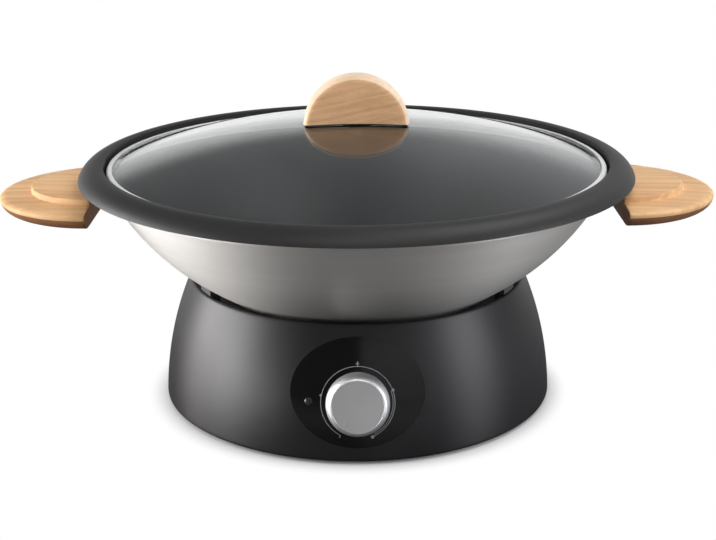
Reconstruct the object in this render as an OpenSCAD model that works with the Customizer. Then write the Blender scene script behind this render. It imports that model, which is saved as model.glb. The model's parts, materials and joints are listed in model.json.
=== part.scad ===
// Electric wok: a round heating base, a removable wok pan with two wooden
// handles, and a domed glass lid with a steel band and a wooden grip.
// The dial faces -Y, the side handles lie along X, and z = 0 is the table.

/* [Base housing] */
// Radius of the housing at its bottom edge
base_r = 130; // [124:1:138]
// Height of the housing, from its bottom edge to its top edge
base_h = 81; // [77:1:90]
// Thickness of the moulded wall
base_wall = 3; // [2.6:0.2:3.8]
// Radius of the convex wall, seen from the side
bulge_r = 215; // [190:5:280]
// Inward lean of the wall at its bottom edge, in degrees
base_lean = 2; // [0:0.5:4]
// Height of the housing above the table
foot_proud = 2.5; // [1.5:0.5:5]
// Radius of each foot
foot_r = 9; // [7:0.5:12]
// Distance of the feet from the middle of the base
foot_ring_r = 98; // [88:1:104]
// Drop from the top edge of the housing to the ledge that holds the shield
ledge_drop = 15; // [13:0.5:18]
// Width of that ledge
ledge_w = 11; // [9:0.5:13]
// Thickness of that ledge
ledge_t = 2.6; // [2:0.2:4]
// Thickness of the bottom plate
plate_t = 2; // [1.6:0.2:3]
// Depth of the bottom plate inside the bottom edge
plate_inset = 1.5; // [1:0.5:3]
// Number of cooling slots in the bottom plate
slot_count = 24; // [12:2:30]
// Length of a cooling slot
slot_len = 26; // [16:1:32]
// Width of a cooling slot
slot_w = 4; // [3:0.5:5]
// Radius of the bosses that take the bottom screws
boss_r = 5; // [4.5:0.5:6]

/* [Heat] */
// Thickness of the sheet steel heat shield
shield_t = 0.8; // [0.6:0.1:1.2]
// Depth of the shield's floor below the top edge of the housing
shield_depth = 47; // [45:0.5:51]
// Radius of the shield's floor
shield_floor_r = 72; // [70:1:76]
// Radius of the heating ring, to the middle of its tube
heater_ring_r = 62; // [58:0.5:65]
// Radius of the heating tube
heater_tube_r = 3.5; // [3:0.25:4]
// Height of the middle of the heating tube above the shield's floor
heater_lift = 10; // [8:0.5:10]
// Angle left open between the ends of the heating ring
heater_open = 40; // [34:1:50]
// Thickness of the three plates that carry the heating tube
support_t = 1.5; // [1:0.25:2]

/* [Wok rests] */
// Upright gap between the wok and the top edge of the housing
wok_gap = 5; // [4:0.5:8]
// Angle of the front rests from the dial
rest_deg = 62; // [50:1:70]
// Angle that one rest covers
rest_span = 8; // [6:0.5:12]

/* [Controls] */
// Height of the dial's middle above the bottom edge of the housing
dial_h = 36.5; // [34:0.5:39]
// Width of the glossy oval panel
fascia_w = 81; // [72:1:86]
// Height of that panel
fascia_hh = 67.4; // [62:0.2:70]
// Distance of the panel's middle above the dial's middle
fascia_up = 6.1; // [5:0.1:7]
// Thickness of that panel
fascia_t = 1.6; // [1.2:0.1:1.8]
// Radius of the knob where it meets the panel
knob_r = 19.2; // [17:0.2:21]
// Height of the knob
knob_h = 11; // [10:0.5:15]
// Radius of the round cap in the knob's face
knob_cap_r = 15.2; // [13:0.2:15.6]
// Radius of the thermostat shaft
shaft_r = 3; // [2.5:0.25:3.5]
// Radius of the pilot light's lens
lens_r = 2.4; // [2:0.2:3.5]
// Angle of the pilot light from the dial, around the base
lens_deg = 14.1; // [13.5:0.1:15]
// Width of the thermostat's body
stat_w = 32; // [26:1:36]
// Depth of the thermostat's body behind the wall
stat_d = 16; // [12:0.5:18]

/* [Mains] */
// Radius of the cord hole in the gland
cord_r = 3.6; // [3:0.1:4.2]
// Height of the gland above the bottom edge of the housing
gland_h = 17; // [16:0.5:24]

/* [Wok] */
// Diameter of the wok over its lip
wok_d = 360; // [350:2:372]
// Height of the seat of the lid above the wok's flat bottom
seat_h = 102; // [98:0.5:108]
// Height of the crest of the lip above the seat of the lid
lip_rise = 13; // [10:0.5:14]
// Thickness of the wok's sheet
bowl_t = 1.6; // [1.2:0.1:2.2]
// Slope of the lower wall, in degrees
bowl_slope = 34.2; // [31:0.2:37]
// Height at which the lower wall starts to curve upright
bowl_low_h = 41; // [38:0.5:44]
// Radius of the curve of the upper wall
bowl_side_r = 157.5; // [145:0.5:175]
// Radius of the curve round the flat bottom
bowl_floor_r = 60; // [50:1:70]
// Width of the lip
lip_w = 16.2; // [14:0.2:17]
// Radius of the lip's curve
lip_curve_r = 13.6; // [13.6:0.2:17]
// Width of the seat of the lid
seat_w = 3.6; // [3:0.1:4.4]

/* [Side handles] */
// Reach of a handle, from its cut end to its tip
grip_reach = 66; // [60:0.5:76]
// Width of a handle
grip_w = 132; // [110:1:140]
// Distance of the cut end inside the wok's edge
grip_inset = 12; // [8:0.5:14]
// Thickness of the outer brim of a handle
grip_brim_t = 11.5; // [10:0.5:13]
// Inset of a handle's rounded underside from its edge
grip_round = 14; // [6:0.5:18]
// Height of the raised middle above the brim
grip_step = 4.5; // [3:0.5:6]
// Width of the brim round the raised middle
grip_brim_w = 20.5; // [14:0.5:24]
// Height of a handle's underside above the wok's flat bottom
grip_under_h = 81.5; // [78:0.5:84]
// Thickness of the steel handle brackets
bracket_t = 2; // [1.5:0.25:2.5]
// Width of the steel handle brackets
bracket_w = 26; // [20:1:28]

/* [Lid] */
// Clearance round the lid
lid_gap = 1.8; // [0.8:0.1:2.2]
// Height of the steel band
band_h = 10; // [9:0.5:10.5]
// Thickness of the steel band
band_t = 0.8; // [0.6:0.1:1]
// Thickness of the glass
glass_t = 4; // [3:0.25:4.5]
// Rise of the glass dome over the band
dome_rise = 25.3; // [20:0.1:32]
// Radius of the upright wooden grip
lid_grip_r = 34.4; // [28:0.2:40]
// Thickness of the wooden grip
lid_grip_t = 20; // [16:0.5:24]
// Radius of the grip's rounded edges
lid_grip_edge = 5; // [3:0.5:6]
// Depth of the grip's centre below the top of the dome
lid_grip_sink = 2.9; // [2:0.1:5]
// Thickness of the seal under the grip
seal_t = 1; // [0.8:0.1:1.5]
// Radius of the lid's screw
lid_screw_r = 2.5; // [2:0.25:3]

/* [Hidden] */
$fn = 96;

fit = 0.1;          // clearance between pieces that are fixed together
run = 0.05;         // radial clearance of a running fit
rest_clear = 0.3;   // clearance under the wok on its rests
seat_clear = 0.05;  // clearance under the lid on its seat
cut = 1;            // how far a cutting shape runs past a face
wall_hole_in = 12;  // reach of a hole in the wall, inwards from its outside
wall_hole_len = 20; // length of such a hole

// ---- curves ----
function arc_pts(cr, cz, r, a0, a1, n) =
    [for (i = [0:n]) let (a = a0 + (a1 - a0) * i / n) [cr + r * cos(a), cz + r * sin(a)]];
function reversed(list) = [for (i = [len(list) - 1:-1:0]) list[i]];

// ---- base housing: h is the height above its bottom edge ----
wall_cr = base_r - bulge_r * cos(base_lean);
wall_ch = -bulge_r * sin(base_lean);
function wall_r(h, off = 0) = wall_cr + sqrt(pow(bulge_r - off, 2) - pow(h - wall_ch, 2));
function wall_tilt(h) = asin((h - wall_ch) / bulge_r);
function wall_line(off, h0, h1, n) = [for (i = [0:n]) let (h = h0 + (h1 - h0) * i / n) [wall_r(h, off), h]];
edge_r = base_wall / 2;
ledge_h = base_h - ledge_drop;
ledge_in_r = wall_r(ledge_h, base_wall) - ledge_w;
plate_h = plate_inset;
plate_top = plate_h + plate_t;
plate_r = wall_r(plate_h, base_wall) - 0.4;
boss_top = 26;
slot_start_r = 38;
boss_ring_r = wall_r(boss_top, base_wall) - boss_r + 1;
ledge_rib = 6;      // height of the sloping rib under the ledge
screw_r = 1.6;
screw_head_r = 3;
screw_spare = 4;    // depth of a blind hole past the tip of its screw
bottom_screw_len = 12;
shield_screw_len = 7;

// ---- controls: the panel's back drops away from the dial's middle ----
pad_t = 3;          // extra thickness of the wall behind the dial
pad_r = 17;
bush_r = shaft_r + 2;
stat_back = -base_wall - pad_t;
stat_half_h = 12;
stat_bore_end = 4;  // closed back end of the thermostat's bore
gland_wall = 3.4;
gland_in = 13;      // reach of the gland, inwards
stat_screw_x = 11;
stat_head_z = -fascia_t - pow(stat_screw_x + screw_head_r, 2) / (2 * wall_r(dial_h)) - 2 * fit;

// ---- heat ----
shield_in_r = ledge_in_r - 3;
shield_out_r = ledge_in_r + ledge_w - 1.5;
shield_screw_r = ledge_in_r + ledge_w / 2;
shield_top = ledge_h + shield_t;
shield_floor_h = base_h - shield_depth;
heater_h = shield_floor_h + heater_lift;
heater_bend_r = 8;
heater_leg_h = shield_floor_h - 15;
pin_r = 1.4;        // contact pins at the ends of the heating tube
pin_len = 7;
support_w = 12;
bushing_r = heater_tube_r + 2.4;
block_y = heater_ring_r + 5;

// ---- wok: h is the height above its flat bottom ----
wok_r = wok_d / 2;
collar_r = wok_r - lip_w;
side_cz = bowl_low_h + bowl_side_r * cos(bowl_slope);
side_cr = collar_r - seat_w - sqrt(pow(bowl_side_r - bowl_t, 2) - pow(side_cz - seat_h, 2));
break_r = side_cr + bowl_side_r * sin(bowl_slope);
flat_r = break_r - bowl_low_h / tan(bowl_slope) - bowl_floor_r * tan(bowl_slope / 2);
floor_end_r = flat_r + bowl_floor_r * sin(bowl_slope);
function bowl_h(r) = r <= flat_r ? 0
    : r <= floor_end_r ? bowl_floor_r - sqrt(pow(bowl_floor_r, 2) - pow(r - flat_r, 2))
    : r <= break_r ? bowl_low_h - (break_r - r) * tan(bowl_slope)
    : side_cz - sqrt(pow(bowl_side_r, 2) - pow(r - side_cr, 2));
function bowl_r(h, off = 0) = side_cr + sqrt(pow(bowl_side_r - off, 2) - pow(side_cz - h, 2));
function bowl_side(off, h_end) = concat(
    arc_pts(flat_r, bowl_floor_r, bowl_floor_r - off, -90, bowl_slope - 90, 6),
    arc_pts(side_cr, side_cz, bowl_side_r - off, bowl_slope - 90,
        -asin((side_cz - h_end) / (bowl_side_r - off)), 12));
lip_start_deg = 105;
lip_cr = collar_r - lip_curve_r * cos(lip_start_deg);
lip_cz = seat_h + lip_rise - lip_curve_r;
lip_end_deg = acos((wok_r - lip_cr) / lip_curve_r);
lip_under_deg = acos((collar_r + bowl_t - lip_cr) / (lip_curve_r - bowl_t));
wok_z = foot_proud + base_h + wok_gap - bowl_h(wall_r(base_h));

// ---- side handles ----
grip_start = wok_r - grip_inset;
grip_wide_h = 0.8 * grip_brim_t;
// Outline of a handle's edge from its underside to its brim, as [inset, height]
grip_edge = concat(
    [for (a = [0:22.5:90]) [grip_round * (1 - sin(a)), grip_wide_h * (1 - cos(a))]],
    [for (a = [30:30:90]) [5 * (1 - cos(a)), grip_wide_h + (grip_brim_t - grip_wide_h) * sin(a)]]);
tongue_h = grip_under_h + grip_brim_t - 1.5;
pad_top_h = seat_h - bowl_t - 1.5;
tongue_end = grip_start + grip_reach - grip_brim_w - 8;
grip_screw_x = (grip_start + tongue_end) / 2;
grip_screw_y = bracket_w / 2 - 5;

// ---- lid: heights above its seat on the wok ----
lid_z = wok_z + seat_h + seat_clear;
band_r = collar_r - lid_gap;
brim_top = band_h - band_t;
brim_under = brim_top - glass_t;
brim_r = band_r - band_t - fit;
dome_edge_r = brim_r - 3.4;
dome_top = brim_top + dome_rise;
dome_r = (pow(dome_edge_r, 2) + pow(dome_rise, 2)) / (2 * dome_rise);
function dome_z(r, off = 0) = dome_top - dome_r + sqrt(pow(dome_r - off, 2) - pow(r, 2));
function dome_line(off, r0, r1, n) = [for (i = [0:n]) let (r = r0 + (r1 - r0) * i / n) [r, dome_z(r, off)]];
lid_hole_r = lid_screw_r + 1.2;
washer_r = lid_screw_r + 6.5;
insert_r = lid_screw_r + 1.5;
insert_len = 12;
insert_z = lid_z + dome_top + seal_t + 0.6;

// ---- shared shapes ----
// Places children on the outside of the wall: +Z leaves it, +Y runs up it
module on_wall(turn, h) {
    rotate([0, 0, turn])
        translate([0, -wall_r(h), foot_proud + h])
            rotate([90 - wall_tilt(h), 0, 0]) children();
}

// A round hole through the wall, for use inside on_wall
module wall_hole(r) {
    translate([0, 0, -wall_hole_in]) cylinder(r = r, h = wall_hole_len);
}

// Repeats children at the four corners of the base
module at_corners() {
    for (a = [45:90:315]) rotate([0, 0, a]) children();
}

// Repeats children at the three shield screws, between the wok rests
module at_shield_screws() {
    for (a = [-90, 30, 150]) rotate([0, 0, a]) translate([shield_screw_r, 0, 0]) children();
}

// A slotted pan-head screw, head up, with the head's underside at z = 0
module pan_screw(r, len, head_r, head_h) {
    difference() {
        union() {
            translate([0, 0, -len]) cylinder(r = r, h = len + head_h / 2);
            cylinder(r1 = head_r, r2 = head_r * 0.8, h = head_h);
        }
        translate([-head_r, -0.4, head_h * 0.55]) cube([head_r * 2, 0.8, head_h]);
    }
}

// A flat oval, width w along X and height h along Y
module oval(w, h) {
    polygon([for (i = [0:59]) [w / 2 * cos(6 * i), h / 2 * sin(6 * i)]]);
}

// The part of the wall that the oval panel takes, between two depths
module fascia_zone(deep, proud, grow) {
    h0 = dial_h + fascia_up - fascia_hh / 2 - 6;
    h1 = min(base_h, dial_h + fascia_up + fascia_hh / 2 + 4);
    intersection() {
        translate([0, 0, foot_proud]) rotate([0, 0, -135]) rotate_extrude(angle = 90)
            polygon(concat(wall_line(deep, h0, h1, 10), reversed(wall_line(-proud, h0, h1, 10))));
        on_wall(0, dial_h) translate([0, fascia_up, -30]) linear_extrude(50)
            oval(fascia_w + 2 * grow, fascia_hh + 2 * grow);
    }
}

// ---- base ----
module base_housing() {
    top_h = base_h - edge_r;
    rib_h = ledge_h - ledge_t - ledge_rib;
    color("#26262a") difference() {
        union() {
            translate([0, 0, foot_proud]) rotate_extrude() polygon(concat(
                [[wall_r(0, base_wall), 0]],
                arc_pts(wall_r(edge_r) - edge_r, edge_r, edge_r, -90, 0, 4),
                wall_line(0, edge_r + 1.5, top_h - 1, 18),
                arc_pts(wall_r(top_h, edge_r), top_h, edge_r, wall_tilt(top_h), wall_tilt(top_h) + 180, 8),
                [[wall_r(ledge_h, base_wall), ledge_h], [ledge_in_r, ledge_h],
                    [ledge_in_r, ledge_h - ledge_t],
                    [wall_r(rib_h, base_wall), rib_h]],
                reversed(wall_line(base_wall, plate_top, rib_h - 3, 10))));
            at_corners() translate([boss_ring_r, 0, foot_proud + plate_top])
                cylinder(r = boss_r, h = boss_top - plate_top);
            on_wall(0, dial_h) translate([0, 0, stat_back]) cylinder(r = pad_r, h = base_wall + 1);
        }
        fascia_zone(fascia_t, cut, fit);
        on_wall(0, dial_h) control_holes();
        on_wall(-lens_deg, dial_h) wall_hole(lens_r + fit);
        at_corners() translate([boss_ring_r, 0, foot_proud + plate_top - cut])
            cylinder(r = screw_r, h = cut + bottom_screw_len - plate_t + screw_spare);
        on_wall(180, gland_h) wall_hole(cord_r + gland_wall + fit);
        at_shield_screws() translate([0, 0, foot_proud + rib_h])
            cylinder(r = screw_r, h = ledge_rib + ledge_t + cut);
    }
}

// Holes for the thermostat's bush and its two countersunk screws
module control_holes() {
    wall_hole(bush_r + 2 * fit);
    for (s = [-1, 1]) translate([s * stat_screw_x, 0, 0]) {
        wall_hole(screw_r);
        translate([0, 0, stat_head_z - 1.6]) cylinder(r1 = screw_r, r2 = screw_r + 1.6, h = 1.6);
        translate([0, 0, stat_head_z]) cylinder(r = screw_r + 1.6, h = 3);
    }
}

module bottom_plate() {
    color("#3a3a3e") translate([0, 0, foot_proud + plate_h]) linear_extrude(plate_t) difference() {
        circle(r = plate_r);
        for (i = [0:slot_count - 1]) rotate(360 / slot_count * i) {
            translate([slot_start_r, -slot_w / 2]) square([slot_len, slot_w]);
            for (r = [0, slot_len]) translate([slot_start_r + r, 0]) circle(d = slot_w);
        }
        for (a = [45:90:315]) rotate(a) {
            translate([boss_ring_r, 0]) circle(r = screw_r + 0.2);
            translate([foot_ring_r, 0]) circle(r = foot_r / 2);
        }
    }
}

module feet() {
    spigot_r = foot_r / 2 - fit;
    color("#1b1b1b") at_corners() translate([foot_ring_r, 0, 0]) {
        rotate_extrude() polygon([[0, 0], [foot_r - 1.5, 0], [foot_r - 0.5, 0.5], [foot_r, 1.5],
            [foot_r, foot_proud + plate_h], [0, foot_proud + plate_h]]);
        translate([0, 0, foot_proud + plate_h]) cylinder(r = spigot_r, h = plate_t + fit);
        translate([0, 0, foot_proud + plate_top + fit]) cylinder(r1 = spigot_r + 0.8, r2 = spigot_r - 1, h = 2.5);
    }
}

module bottom_screws() {
    color("#8f9296") at_corners() translate([boss_ring_r, 0, foot_proud + plate_h]) rotate([180, 0, 0])
        pan_screw(screw_r - run, bottom_screw_len, screw_head_r, 1.4);
}

// ---- heat ----
module heat_shield() {
    drop = shield_t * 1.3;
    color("#c9c9c6") difference() {
        translate([0, 0, foot_proud]) rotate_extrude() polygon([
            [0, shield_floor_h - shield_t], [shield_floor_r, shield_floor_h - shield_t],
            [shield_in_r + drop, ledge_h - 1], [shield_in_r + drop, ledge_h],
            [shield_out_r, ledge_h], [shield_out_r, shield_top], [shield_in_r, shield_top],
            [shield_floor_r - drop / 2, shield_floor_h], [0, shield_floor_h]]);
        at_heater_legs() translate([0, 0, foot_proud + shield_floor_h - 5]) cylinder(r = bushing_r - 1.2 + fit, h = 10);
        at_shield_screws() translate([0, 0, foot_proud + ledge_h - cut]) cylinder(r = screw_r + 0.2, h = 3);
    }
}

module shield_screws() {
    color("#8f9296") at_shield_screws() translate([0, 0, foot_proud + shield_top])
        pan_screw(screw_r - run, shield_screw_len, screw_head_r, 1.6);
}

// Three heat-proof blocks that hook over the top edge and carry the wok
module wok_rests() {
    in_r = wall_r(base_h, base_wall) - 5;
    out_r = wall_r(base_h) - 1.5;
    back_r = wall_r(base_h, base_wall) - fit;
    lift = wok_z - foot_proud - rest_clear;
    color("#55565a") for (a = [-rest_deg, rest_deg, 180]) rotate([0, 0, a - 90 - rest_span / 2])
        translate([0, 0, foot_proud]) rotate_extrude(angle = rest_span) polygon([
            [in_r, shield_top], [back_r, shield_top], [back_r, base_h + fit], [out_r, base_h + fit],
            [out_r, lift + bowl_h(out_r)], [in_r, lift + bowl_h(in_r)]]);
}

// Places children at the two ends of the heating tube, where it turns down
module at_heater_legs() {
    for (s = [-1, 1]) rotate([0, 0, 90 + s * heater_open / 2])
        translate([heater_ring_r, -s * heater_bend_r, 0]) children();
}

// Half of the heating tube: half the ring, the bend at its end and the leg
module half_heater() {
    z = foot_proud + heater_h;
    leg_top = z - heater_bend_r;
    turn = 90 + heater_open / 2;
    rotate([0, 0, turn]) {
        rotate_extrude(angle = 181 - heater_open / 2)
            translate([heater_ring_r, z]) circle(r = heater_tube_r);
        translate([heater_ring_r, 0, leg_top]) rotate([0, 0, -90]) rotate([90, 0, 0])
            rotate_extrude(angle = 90) translate([heater_bend_r, 0]) circle(r = heater_tube_r);
        translate([heater_ring_r, -heater_bend_r, foot_proud + heater_leg_h]) {
            cylinder(r = heater_tube_r, h = leg_top - foot_proud - heater_leg_h);
            translate([0, 0, -pin_len]) cylinder(r = pin_r, h = pin_len + 1);
        }
    }
}

module heating_element() {
    color("#4b4a4a") {
        half_heater();
        mirror([1, 0, 0]) half_heater();
    }
}

module element_bushings() {
    color("#e9e4d8") at_heater_legs() translate([0, 0, foot_proud + shield_floor_h]) rotate_extrude()
        polygon([[heater_tube_r + fit, -5], [bushing_r - 1.2, -5], [bushing_r - 1.2, 0], [bushing_r, 0],
            [bushing_r, 1.6], [heater_tube_r + fit, 1.6]]);
}

// Three small plates on the shield's floor, each with a hole for the tube
module element_supports() {
    top = heater_lift + heater_tube_r * 0.6;
    color("#b3b3ae") for (a = [-90, 0, 180]) rotate([0, 0, a + 25])
        translate([heater_ring_r, 0, foot_proud + shield_floor_h]) {
            difference() {
                translate([-support_w / 2, -support_t / 2, 0]) cube([support_w, support_t, top]);
                translate([0, 0, heater_lift]) rotate([90, 0, 0])
                    cylinder(r = heater_tube_r + fit, h = 20, center = true);
            }
            translate([-support_w / 2, 0, 0]) cube([support_w, 8, 1]);
        }
}

module thermal_fuse() {
    fuse_r = 2.5;
    color("#d8d2c0") translate([0, 40, foot_proud + shield_floor_h - shield_t - fuse_r - fit]) rotate([0, 90, 0]) {
        cylinder(r = fuse_r, h = 16, center = true);
        cylinder(r = 0.5, h = 30, center = true);
    }
}

// ---- controls ----
module thermostat() {
    color("#d9d3c4") on_wall(0, dial_h) difference() {
        union() {
            translate([-stat_w / 2, -stat_half_h, stat_back - stat_d]) cube([stat_w, 2 * stat_half_h, stat_d]);
            translate([0, 0, stat_back - 1]) cylinder(r = bush_r, h = base_wall + pad_t);
        }
        translate([0, 0, stat_back - stat_d + stat_bore_end]) cylinder(r = shaft_r + run, h = stat_d + 10);
        for (s = [-1, 1]) translate([s * stat_screw_x, 0, stat_back - 7]) cylinder(r = screw_r, h = 8);
    }
}

module thermostat_screws() {
    color("#8f9296") on_wall(0, dial_h) for (s = [-1, 1]) translate([s * stat_screw_x, 0, stat_head_z])
        difference() {
            union() {
                translate([0, 0, -9]) cylinder(r = screw_r - run, h = 8.5);
                translate([0, 0, -1.5]) cylinder(r1 = screw_r - run, r2 = screw_r + 1.4, h = 1.5);
            }
            translate([-5, -0.4, -0.7]) cube([10, 0.8, 2]);
        }
}

module control_fascia() {
    color("#101012") difference() {
        fascia_zone(fascia_t - fit, 0, 0);
        on_wall(0, dial_h) wall_hole(bush_r + 2 * fit);
        on_wall(-lens_deg, dial_h) wall_hole(lens_r + fit);
    }
}

module pilot_lens() {
    color("#7d2b22") on_wall(-lens_deg, dial_h) {
        translate([0, 0, -base_wall - 1.5]) cylinder(r = lens_r, h = base_wall + 1.5);
        translate([0, 0, -base_wall - 2.7]) cylinder(r = lens_r + 1.6, h = 2.4);
    }
}

module pilot_lamp() {
    color("#e8e4dc") on_wall(-lens_deg, dial_h) {
        translate([0, 0, -base_wall - 15]) cylinder(r = lens_r + 1, h = 12.2);
        for (s = [-1, 1]) translate([0, s * 1.5, -base_wall - 21]) cylinder(r = 0.5, h = 7);
    }
}

// The shaft is round in its bush and has a flat where the knob grips it
module shaft_shape(grow) {
    difference() {
        cylinder(r = shaft_r + grow, h = knob_h - 3 + 2 * grow);
        translate([-10, shaft_r - 1 + grow, 1.5]) cube([20, 5, knob_h]);
    }
}

module thermostat_shaft() {
    deep = stat_d - stat_bore_end - 0.5 - stat_back;
    color("#a8abb0") on_wall(0, dial_h) {
        translate([0, 0, -deep]) cylinder(r = shaft_r, h = deep + 0.5);
        shaft_shape(0);
    }
}

module knob() {
    face_r = knob_cap_r + 0.3;
    round_h = knob_h - 2.5;
    lift = 0.8;
    color("#c2c3c6") on_wall(0, dial_h) difference() {
        rotate_extrude() polygon(concat(
            [[0, 2], [shaft_r + 3, 2], [shaft_r + 3, knob_h - 3], [knob_r - 4, knob_h - 3],
                [knob_r - 1.8, lift], [knob_r, lift]],
            [for (a = [0:15:90])
                [face_r + (knob_r - face_r) * cos(a), knob_h - round_h + round_h * sin(a)]],
            [[knob_cap_r + fit, knob_h - 0.2], [knob_cap_r + fit, knob_h - 1], [0, knob_h - 1]]));
        shaft_shape(run);
    }
}

module knob_cap() {
    color("#a9aaad") on_wall(0, dial_h) translate([0, 0, knob_h - 1]) difference() {
        cylinder(r = knob_cap_r, h = 0.8);
        rotate([0, 0, 152]) translate([-0.6, knob_cap_r - 7, 0.5]) cube([1.2, 5.5, 1]);
    }
}

// ---- mains ----
module terminal_block() {
    w = 44;
    d = 17;
    pitch = 13;
    color("#e3ddcb") translate([0, block_y, foot_proud + plate_top]) difference() {
        union() {
            translate([-w / 2, 0, 0]) cube([w, d, 9]);
            for (i = [-1:1]) translate([i * pitch - 5, 2, 8]) cube([10, d - 4, 6]);
        }
        for (i = [-1:1]) translate([i * pitch, 0, 0]) {
            translate([0, -cut, 5.5]) rotate([-90, 0, 0]) cylinder(r = 2, h = d + 2 * cut);
            translate([0, d / 2, 5]) cylinder(r = screw_r, h = 12);
        }
    }
}

module cord_gland() {
    out_r = cord_r + gland_wall;
    color("#1d1d1f") on_wall(180, gland_h) rotate_extrude() polygon([[cord_r, -gland_in], [out_r, -gland_in],
        [out_r, -base_wall - 2.6], [out_r + 2, -base_wall - 2.6], [out_r + 2, -base_wall - 0.5],
        [out_r, -base_wall - 0.5], [out_r, 0.4], [out_r + 2.6, 0.4], [out_r + 2.6, 2],
        [out_r + 1, 3.2], [cord_r, 3.2]]);
}

module cord_clamp() {
    w = 26;
    d = 9;
    color("#3c3c40") translate([0, block_y + 21, foot_proud + plate_top]) difference() {
        translate([-w / 2, 0, 0]) cube([w, d, gland_h - plate_top - 3]);
        translate([0, -cut, gland_h - plate_top]) rotate([-90, 0, 0]) cylinder(r = cord_r + 0.4, h = d + 2 * cut);
        for (s = [-1, 1]) translate([s * (w / 2 - 4), d / 2, -cut]) cylinder(r = screw_r, h = 30);
    }
}

// ---- wok ----
module wok_bowl() {
    color("#b9b7b3") translate([0, 0, wok_z]) rotate_extrude() polygon(concat(
        [[0, 0]], bowl_side(0, seat_h - bowl_t),
        [[collar_r + bowl_t, seat_h - bowl_t]],
        arc_pts(lip_cr, lip_cz, lip_curve_r - bowl_t, lip_under_deg, lip_end_deg, 8),
        arc_pts(lip_cr, lip_cz, lip_curve_r, lip_end_deg, lip_start_deg, 12),
        [[collar_r, seat_h]],
        reversed(bowl_side(bowl_t, seat_h)),
        [[0, bowl_t]]));
}

// Half of an oval: the plan of a handle, with its straight end at x = 0
module half_oval(reach, w) {
    polygon([for (i = [0:24]) let (a = -90 + 7.5 * i) [reach * cos(a), w / 2 * sin(a)]]);
}

// One thin layer of a handle, inset from its edge, with its top at height h
module grip_layer(inset, h) {
    t = 0.2;
    translate([0, 0, max(0, h - t)]) linear_extrude(t) half_oval(grip_reach - inset, grip_w - 2 * inset);
}

// One handle, along +X, with a sawn slot for its bracket
module side_handle() {
    top = grip_brim_t + grip_step;
    slot_h = tongue_h - grip_under_h;
    translate([grip_start, 0, wok_z + grip_under_h]) difference() {
        union() {
            hull() {
                for (p = grip_edge) grip_layer(p[0], p[1]);
                grip_layer(grip_brim_w - 2, grip_brim_t + 0.6);
            }
            hull() {
                grip_layer(grip_brim_w - 0.8, grip_brim_t);
                grip_layer(grip_brim_w, top - 1.2);
                grip_layer(grip_brim_w + 0.5, top - 0.4);
                grip_layer(grip_brim_w + 1.6, top);
            }
        }
        translate([-cut, -bracket_w / 2 - fit, slot_h - fit])
            cube([tongue_end - grip_start + cut + fit, bracket_w + 2 * fit, bracket_t + 2 * fit]);
        for (s = [-1, 1]) translate([grip_screw_x - grip_start, s * grip_screw_y, -cut]) {
            cylinder(r = screw_r + 0.2, h = cut + slot_h + bracket_t + 2);
            cylinder(r = screw_head_r + 0.3, h = cut + 2);
        }
    }
}

module right_handle() {
    color("#dcb98a") side_handle();
}

module left_handle() {
    color("#dcb98a") mirror([1, 0, 0]) side_handle();
}

// A steel angle: its curved pad is welded to the wok, its tongue holds the wood
module handle_bracket() {
    difference() {
        union() {
            intersection() {
                translate([0, 0, wok_z]) rotate([0, 0, -12]) rotate_extrude(angle = 24)
                    polygon(concat(pad_line(-fit), reversed(pad_line(-fit - bracket_t))));
                translate([wok_r / 2, -bracket_w / 2, wok_z + tongue_h])
                    cube([wok_r / 2, bracket_w, pad_top_h - tongue_h]);
            }
            difference() {
                translate([bowl_r(tongue_h) - 4, -bracket_w / 2, wok_z + tongue_h])
                    cube([tongue_end - bowl_r(tongue_h) + 4, bracket_w, bracket_t]);
                translate([0, 0, wok_z]) rotate_extrude()
                    polygon(concat([[wok_r / 2, tongue_h - 5]], pad_line(-fit), [[wok_r / 2, pad_top_h + 5]]));
            }
        }
        for (s = [-1, 1]) translate([grip_screw_x, s * grip_screw_y, wok_z + tongue_h - cut])
            cylinder(r = screw_r, h = bracket_t + 2 * cut);
    }
}

function pad_line(off) = [for (i = [0:6]) let (h = tongue_h - 4 + (pad_top_h - tongue_h + 6) * i / 6) [bowl_r(h, off), h]];

module right_bracket() {
    color("#b3b3ae") handle_bracket();
}

module left_bracket() {
    color("#b3b3ae") mirror([1, 0, 0]) handle_bracket();
}

module handle_screws() {
    color("#8f9296") for (m = [0, 1]) mirror([m, 0, 0]) for (s = [-1, 1])
        translate([grip_screw_x, s * grip_screw_y, wok_z + grip_under_h + 2]) rotate([180, 0, 0])
            pan_screw(screw_r - run, tongue_h - grip_under_h + bracket_t - 1, screw_head_r, 1.6);
}

// ---- lid ----
module lid_glass() {
    color("#9fb0b4", 0.4) translate([0, 0, lid_z]) rotate_extrude() polygon(concat(
        dome_line(0, lid_hole_r, dome_edge_r, 16),
        [[brim_r, brim_top], [brim_r, brim_under + fit], [dome_edge_r - 1.2, brim_under + fit]],
        reversed(dome_line(glass_t - fit, lid_hole_r, dome_edge_r - 4, 16))));
}

// Folded steel band: a channel for the glass over a skirt that seats in the wok
module lid_band() {
    color("#cfd1d3") translate([0, 0, lid_z]) rotate_extrude() polygon([
        [band_r - 2.2, 0], [band_r - 0.4, 0], [band_r, 0.4], [band_r, band_h - 0.5], [band_r - 0.5, band_h],
        [brim_r - 2.6, band_h], [brim_r - 2.6, brim_top], [band_r - band_t, brim_top],
        [band_r - band_t, brim_under], [brim_r - 2.6, brim_under], [brim_r - 2.6, brim_under - band_t],
        [band_r - band_t, brim_under - band_t], [band_r - band_t, band_t], [band_r - 2.2, band_t]]);
}

// Everything under the dome's outer face, raised by up
module dome_solid(up) {
    translate([0, 0, lid_z + up]) rotate_extrude()
        polygon(concat([[0, dome_top - 20], [0, dome_z(0)]], dome_line(0, lid_hole_r, 60, 8), [[60, dome_top - 20]]));
}

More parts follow.
